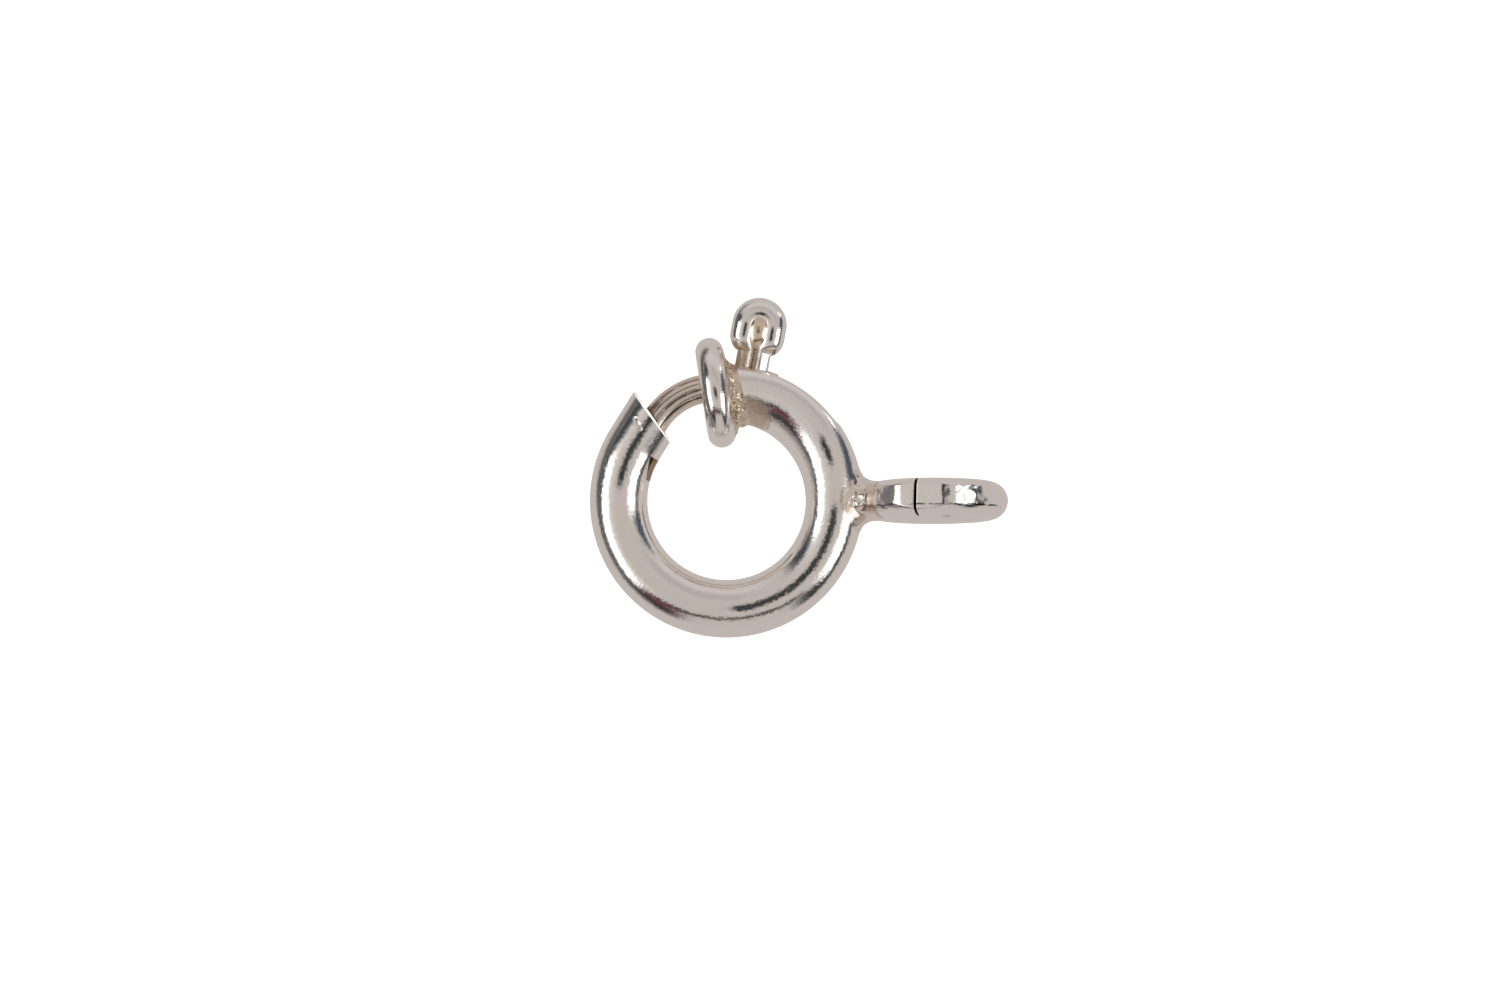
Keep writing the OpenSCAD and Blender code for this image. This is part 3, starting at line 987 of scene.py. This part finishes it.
class CLASP_OT_solder(bpy.types.Operator):
    """Run solder into the corner by the collar and round the jump ring's joint"""

    bl_idname = "clasp.solder"
    bl_label = "Solder"

    def execute(self, context):
        sizes, finish = context.scene.clasp_sizes, context.scene.clasp_finish
        tube = ring_gap(sizes.ring_outer, sizes.tube_thick)
        collar = ring_gap(sizes.collar_outer, sizes.collar_wire, collar_place())
        jump = ring_gap(sizes.jump_outer, sizes.jump_wire, jump_place(sizes))
        by_jump = self.skin(tube, jump, JUMP_SOLDER_FILL, JUMP_SOLDER_LUMPS, DROPS)
        round_collar = self.skin(tube, collar, COLLAR_SOLDER_FILL, COLLAR_SOLDER_LUMPS)
        to_collar = collar_place().inverted()

        def by_collar(point):
            """Only the solder on the trigger's side of the collar."""
            return max(round_collar(point), -(to_collar @ point).z)

        solder = metal("Solder", finish.solder, polish=0.22, lumps=0.02 * MM)
        middle = polar(ring_radius(sizes), COLLAR_SOLDER_DEG)
        self.run(by_collar, middle, COLLAR_SOLDER_REACH, "collar_solder", solder)
        bright = metal(
            "BrightSolder",
            finish.bright_solder,
            polish=0.14,
            lumps=0.005 * MM,
            stains=JUMP_SOLDER_STAINS,
            soil=finish.stain,
        )
        middle = polar(sizes.ring_outer / 2 + JUMP_SOLDER_OUT, 0)
        self.run(by_jump, middle, JUMP_SOLDER_REACH, "jump_solder", bright)
        return {"FINISHED"}

    def skin(self, one, other, fill, lumps, drops=()):
        """Makes the function that gives a point's distance from the solder between two wires."""

        def gap(point):
            wires = one(point), other(point)
            solder = filled(*wires, fill)
            for place, radius in drops:
                solder = filled(solder, (point - place).length - radius, DROP_FILL)
            deep = smoothstep(0.0, SOLDER_DEEP, min(wires) - solder)
            return solder + layered_noise(point, lumps) * deep + SOLDER_SUNK

        return gap

    def run(self, gap, middle, reach, name, material):
        """Grows a ball from the joint's middle until each of its points meets the solder's skin."""
        bm = bmesh.new()
        bmesh.ops.create_icosphere(bm, subdivisions=7, radius=1)
        for vert in bm.verts:
            ray, far = vert.co.normalized(), 0.0
            while far < reach and gap(middle + ray * far) < 0:
                far += SOLDER_STEP
            low, high = far - SOLDER_STEP, min(far, reach)
            for _ in range(SOLDER_HALVINGS):
                half = (low + high) / 2
                if gap(middle + ray * half) < 0:
                    low = half
                else:
                    high = half
            vert.co = middle + ray * high
        bmesh.ops.recalc_face_normals(bm, faces=bm.faces)
        add_piece(bm, name, "ring", (material,), "clasp_ring", sharp_deg=60)


class CLASP_OT_bolt(bpy.types.Operator):
    """Draw the curved bolt that shuts the ring, with the lengthwise lines of its draw plate"""

    bl_idname = "clasp.bolt"
    bl_label = "Bolt"

    def execute(self, context):
        sizes, finish = context.scene.clasp_sizes, context.scene.clasp_finish
        half, middle = sizes.bolt_thick / 2, Vector((BOLT_RADIUS, 0, 0))
        bm = bmesh.new()
        tail = wire_section(bm, middle, half, sides=180)
        self.score(bm, middle)
        turn_all(bm, BOLT_TAIL_DEG)
        loop = spin_through(bm, tail, (0, 0, 0), UP, (BOLT_TAIL_DEG, BOLT_BEND_DEG), BOLT_STEP_DEG)
        bend = polar(BOLT_RADIUS - BOLT_BEND_RADIUS, BOLT_BEND_DEG)
        loop = spin_through(bm, loop, bend, UP, (0, BOLT_TIP_TURN_DEG), BOLT_STEP_DEG)
        ahead = polar(1, BOLT_BEND_DEG + BOLT_TIP_TURN_DEG + 90)
        self.dome(bm, edges_of(loop), ahead, half)
        bmesh.ops.contextual_create(bm, geom=tail)
        close_up(bm)
        silver = metal("DrawnSilver", finish.drawn, polish=0.16, lines="drawn_line", dirt=finish.dirt)
        add_piece(bm, "bolt_rod", "bolt", (silver,), "bolt")
        return {"FINISHED"}

    def score(self, bm, middle):
        """Cuts the draw plate's lines into the section, and marks them for the dirt that they hold."""
        mark = bm.verts.layers.float.new("drawn_line")
        for vert in bm.verts:
            turn = section_angle(vert.co, BOLT_RADIUS)
            share = max(1 - abs((turn - line + 180) % 360 - 180) / half for line, half in BOLT_LINES_DEG)
            vert[mark] = max(0.0, share)
            vert.co += (middle - vert.co).normalized() * BOLT_LINE_DEPTH * vert[mark]

    def dome(self, bm, edges, ahead, half):
        """Rounds the tip off."""
        turns = [math.radians(90 * k / DOME_STEPS) for k in range(DOME_STEPS + 1)]
        for before, after in zip(turns, turns[1:]):
            grown = bmesh.ops.extrude_edge_only(bm, edges=edges)["geom"]
            edges, verts = edges_of(grown), verts_of(grown)
            centre = sum((v.co for v in verts), Vector()) / len(verts)
            share = max(math.cos(after), DOME_FLAT) / math.cos(before)
            along = (math.sin(after) - math.sin(before)) * half
            for vert in verts:
                vert.co = centre + (vert.co - centre) * share + ahead * along
        bmesh.ops.contextual_create(bm, geom=edges)


class CLASP_OT_trigger(bpy.types.Operator):
    """Bend the trigger from one wire: two legs, round shoulders and a loop shut with a bead of solder"""

    bl_idname = "clasp.trigger"
    bl_label = "Trigger"

    def execute(self, context):
        sizes, finish = context.scene.clasp_sizes, context.scene.clasp_finish
        bm = bmesh.new()
        sweep(bm, self.places(sizes.leg_thick / 2), sides=48)
        close_up(bm)
        self.flatten_leg(bm, sizes.leg_thick / 2)
        silver = metal(
            "TriggerSilver",
            finish.silver,
            finish.polish,
            uneven=uneven_head,
            stains=TRIGGER_STAINS,
            soil=finish.stain,
        )
        add_piece(bm, "trigger_wire", "bolt", (silver,), "trigger")
        bm = bmesh.new()
        turn = Matrix.Rotation(math.radians(TRIGGER_DEG), 4, "Z")
        bead = Matrix.Translation(self.point(BEAD_OUT, 0)) @ turn @ Matrix.Diagonal((*BEAD_HALF, 1))
        bmesh.ops.create_uvsphere(bm, u_segments=48, v_segments=32, radius=1, matrix=bead)
        silver = metal("TriggerBead", finish.champagne, polish=0.16, stains=BEAD_STAINS, soil=finish.tarnish)
        add_piece(bm, "trigger_bead", "bolt", (silver,), "trigger")
        return {"FINISHED"}

    def point(self, out, side):
        """A point of the trigger: how far out from the ring's centre, and how far to its left."""
        return polar(out, TRIGGER_DEG) + polar(side, TRIGGER_DEG + 90)

    def flatten_leg(self, bm, leg):
        """Presses a flat along the top of the right leg."""
        tilt = math.radians(LEG_FLAT_TILT_DEG)
        ahead, right = polar(1, TRIGGER_DEG), polar(1, TRIGGER_DEG - 90)
        facing = right * math.sin(tilt) + UP * math.cos(tilt)
        foot = self.point(0, -LEG_SPACING / 2)
        for vert in bm.verts:
            proud = (vert.co - foot).dot(facing) - (leg - LEG_FLAT_DEPTH)
            if proud > 0 and vert.co.dot(right) > 0:
                fade = smoothstep(SHOULDER_OUT - LEG_FLAT_FADE, NECK_OUT, vert.co.dot(ahead))
                vert.co -= facing * proud * fade

    def places(self, leg):
        """The wire's sections, from the left foot up round the loop and down to the right foot."""
        head, by_leg = HEAD_WIRE / 2, LEG_SPACING / 2
        by_head = head + HEAD_GAP / 2
        line = [(between(LEG_FOOT_OUT, NECK_OUT, k / 2), by_leg, leg) for k in range(3)]
        for k in range(1, SHOULDER_STEPS + 1):
            share = k / SHOULDER_STEPS
            swell = math.sin(share * math.pi / 2)
            side = between(by_leg, by_head, smoothstep(0, 1, share))
            line.append((between(NECK_OUT, SHOULDER_OUT, share), side, between(leg, head, swell)))
        line += [(between(SHOULDER_OUT, HEAD_OUT, k / 3), by_head, head) for k in range(1, 4)]
        for k in range(1, HEAD_STEPS + 1):
            turn = math.radians(90 * k / HEAD_STEPS)
            line.append((HEAD_OUT + by_head * math.sin(turn), by_head * math.cos(turn), head))
        line += [(out, -side, half) for out, side, half in reversed(line[:-1])]
        points = [self.point(out, side) for out, side, _ in line]
        ways = [after - before for before, after in zip([points[0], *points], [*points[1:], points[-1]])]
        return [aimed(point, way, UP, half) for point, way, (_, _, half) in zip(points, ways, line)]


class CLASP_OT_spring(bpy.types.Operator):
    """Wind the coil in the tube that pushes the bolt shut"""

    bl_idname = "clasp.spring"
    bl_label = "Spring"

    def execute(self, context):
        sizes, finish = context.scene.clasp_sizes, context.scene.clasp_finish
        radius, half = ring_radius(sizes), sizes.spring_wire / 2
        coil = sizes.spring_outer / 2 - half
        last = sizes.spring_turns * SPRING_STEPS_PER_TURN

        def on_axis(k, off=0.0, up=0.0):
            return polar(radius + off, between(*SPRING_DEG, k / last), up)

        def on_coil(k):
            turn = 2 * math.pi * k / SPRING_STEPS_PER_TURN
            return on_axis(k, coil * math.cos(turn), coil * math.sin(turn))

        places = [
            aimed(on_coil(k), on_coil(k + 1) - on_coil(k - 1), on_coil(k) - on_axis(k), half)
            for k in range(last + 1)
        ]
        bm = bmesh.new()
        sweep(bm, places, sides=12)
        close_up(bm)
        steel = metal("SpringSteel", finish.steel, polish=0.25)
        piece = add_piece(bm, "spring_coil", None, (steel,), "spring")
        REST @ on_axis(0)
        REST @ on_axis(last)
        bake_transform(piece)
        return {"FINISHED"}


class CLASP_OT_stage(bpy.types.Operator):
    """Lay the floor, light the studio and set the camera square to the ring"""

    bl_idname = "clasp.stage"
    bl_label = "Stage"

    def execute(self, context):
        finish = context.scene.clasp_finish
        self.floor(finish)
        self.studio(finish)
        self.camera()
        context.scene.view_settings.view_transform = "Standard"
        return {"FINISHED"}

    def floor(self, finish):
        bm = bmesh.new()
        bmesh.ops.create_grid(bm, x_segments=1, y_segments=1, size=FLOOR_HALF)
        mesh = bpy.data.meshes.new("floor")
        bm.to_mesh(mesh)
        bm.free()
        mesh.materials.append(self.floor_paint(finish))
        piece = bpy.data.objects.new("floor", mesh)
        bpy.context.scene.collection.objects.link(piece)

    def floor_paint(self, finish):
        """White, though it shows in the clasp as evenly lit, a little pinker and with patches of painted
        shade on it.
        """
        made = bpy.data.materials.new("Floor")
        made.use_nodes = True
        tree = made.node_tree
        white = tree.nodes["Principled BSDF"]
        plug(white.inputs["Base Color"], (*finish.floor, 1))
        plug(white.inputs["Roughness"], 0.9)
        plug(white.inputs["Emission Color"], (1, 1, 1, 1))
        plug(white.inputs["Emission Strength"], FLOOR_GLOW)
        coords = worked_out(tree, "ShaderNodeTexCoord", {}, "Object")
        light = (*finish.floor_below, 1)
        # Painted shade: dark patches in the glow that only the metal sees
        for about, out, reach in FLOOR_SHADE_PATCHES:
            place = REST @ polar(out, about)
            place.z = 0
            away = vector_calc("DISTANCE", coords, place, output="Value")
            share = ramp(away, FLOOR_SHADE_WHOLE * reach, reach, FLOOR_SHADE_SHARE, 0.0)
            light = blend_colour(share, light, (*FLOOR_SHADE_GLOW, 1))
        glow = worked_out(tree, "ShaderNodeEmission", {"Color": light})
        seen = worked_out(tree, "ShaderNodeLightPath", {}, "Is Camera Ray")
        inputs = {"Fac": seen, 1: glow, 2: Value(tree, white.outputs[0])}
        either = worked_out(tree, "ShaderNodeMixShader", inputs)
        plug(tree.nodes["Material Output"].inputs["Surface"], either)
        return made

    def studio(self, finish):
        """A pale room with a bright soft box on each side of the clasp and dark stands behind them."""
        world = bpy.data.worlds.new("Studio")
        bpy.context.scene.world = world
        world.use_nodes = True
        tree = world.node_tree
        x, y, z = parts_of(turned(worked_out(tree, "ShaderNodeTexCoord", {}, "Generated"), back=True))
        down, about = z.calc("ARCCOSINE") * (180 / math.pi), turn_about(x, y)
        light = (*finish.room, 1)
        for patch in PATCHES:
            light = blend_colour(self.share_of(patch, about, down), light, (*patch.light, 1))
        seen = worked_out(tree, "ShaderNodeLightPath", {}, "Is Camera Ray")
        background = tree.nodes["Background"]
        plug(background.inputs["Color"], blend_colour(seen, light, (*BACKDROP, 1)))
        plug(background.inputs["Strength"], 1.0)

    def share_of(self, patch, about, down):
        """1 in a patch of the studio, fading to 0 over its soft edges."""
        off = turned_from(about, patch.about)
        level = down - (off * patch.lean + (off / patch.half).calc("POWER", 2) * patch.bow)
        side = ramp(off.calc("ABSOLUTE"), patch.half - patch.soft, patch.half + patch.soft, 1.0, 0.0)
        low = ramp(level, patch.top - patch.fade, patch.top + patch.fade)
        high = ramp(level, patch.foot - patch.soft, patch.foot + patch.soft, 1.0, 0.0)
        return side * low * high

    def camera(self):
        """The camera looks straight down on the ring, which stands a little left of the picture's middle."""
        data = bpy.data.cameras.new("camera")
        data.lens, data.sensor_width = 200, 36
        data.clip_start, data.clip_end = 0.01, 10
        camera = bpy.data.objects.new("camera", data)
        bpy.context.scene.collection.objects.link(camera)
        away = PICTURE_WIDTH * data.lens / data.sensor_width
        camera.matrix_world = REST @ Matrix.Translation(PICTURE_MIDDLE + UP * away)
        bpy.context.scene.camera = camera


class VIEW3D_PT_clasp(bpy.types.Panel):
    """The clasp's pieces, sizes and colours"""

    bl_label = "Bolt Ring Clasp"
    bl_space_type = "VIEW_3D"
    bl_region_type = "UI"
    bl_category = "Clasp"

    def draw(self, context):
        layout = self.layout
        for group in (context.scene.clasp_sizes, context.scene.clasp_finish):
            box = layout.box()
            for key in group.__annotations__:
                box.prop(group, key)
        for operator in OPERATORS:
            layout.operator(operator.bl_idname)


OPERATORS = (
    CLASP_OT_tube,
    CLASP_OT_collar,
    CLASP_OT_jump_ring,
    CLASP_OT_solder,
    CLASP_OT_bolt,
    CLASP_OT_trigger,
    CLASP_OT_spring,
    CLASP_OT_stage,
)
CLASSES = (ClaspSizes, ClaspFinish, *OPERATORS, VIEW3D_PT_clasp)


def register():
    for cls in CLASSES:
        bpy.utils.register_class(cls)
    bpy.types.Scene.clasp_sizes = PointerProperty(type=ClaspSizes)
    bpy.types.Scene.clasp_finish = PointerProperty(type=ClaspFinish)


def unregister():
    del bpy.types.Scene.clasp_finish
    del bpy.types.Scene.clasp_sizes
    for cls in reversed(CLASSES):
        bpy.utils.unregister_class(cls)


def main():
    register()
    bpy.ops.clasp.tube()
    bpy.ops.clasp.collar()
    bpy.ops.clasp.jump_ring()
    bpy.ops.clasp.solder()
    bpy.ops.clasp.bolt()
    bpy.ops.clasp.trigger()
    bpy.ops.clasp.spring()
    bpy.ops.clasp.stage()


if __name__ == "__main__":
    main()
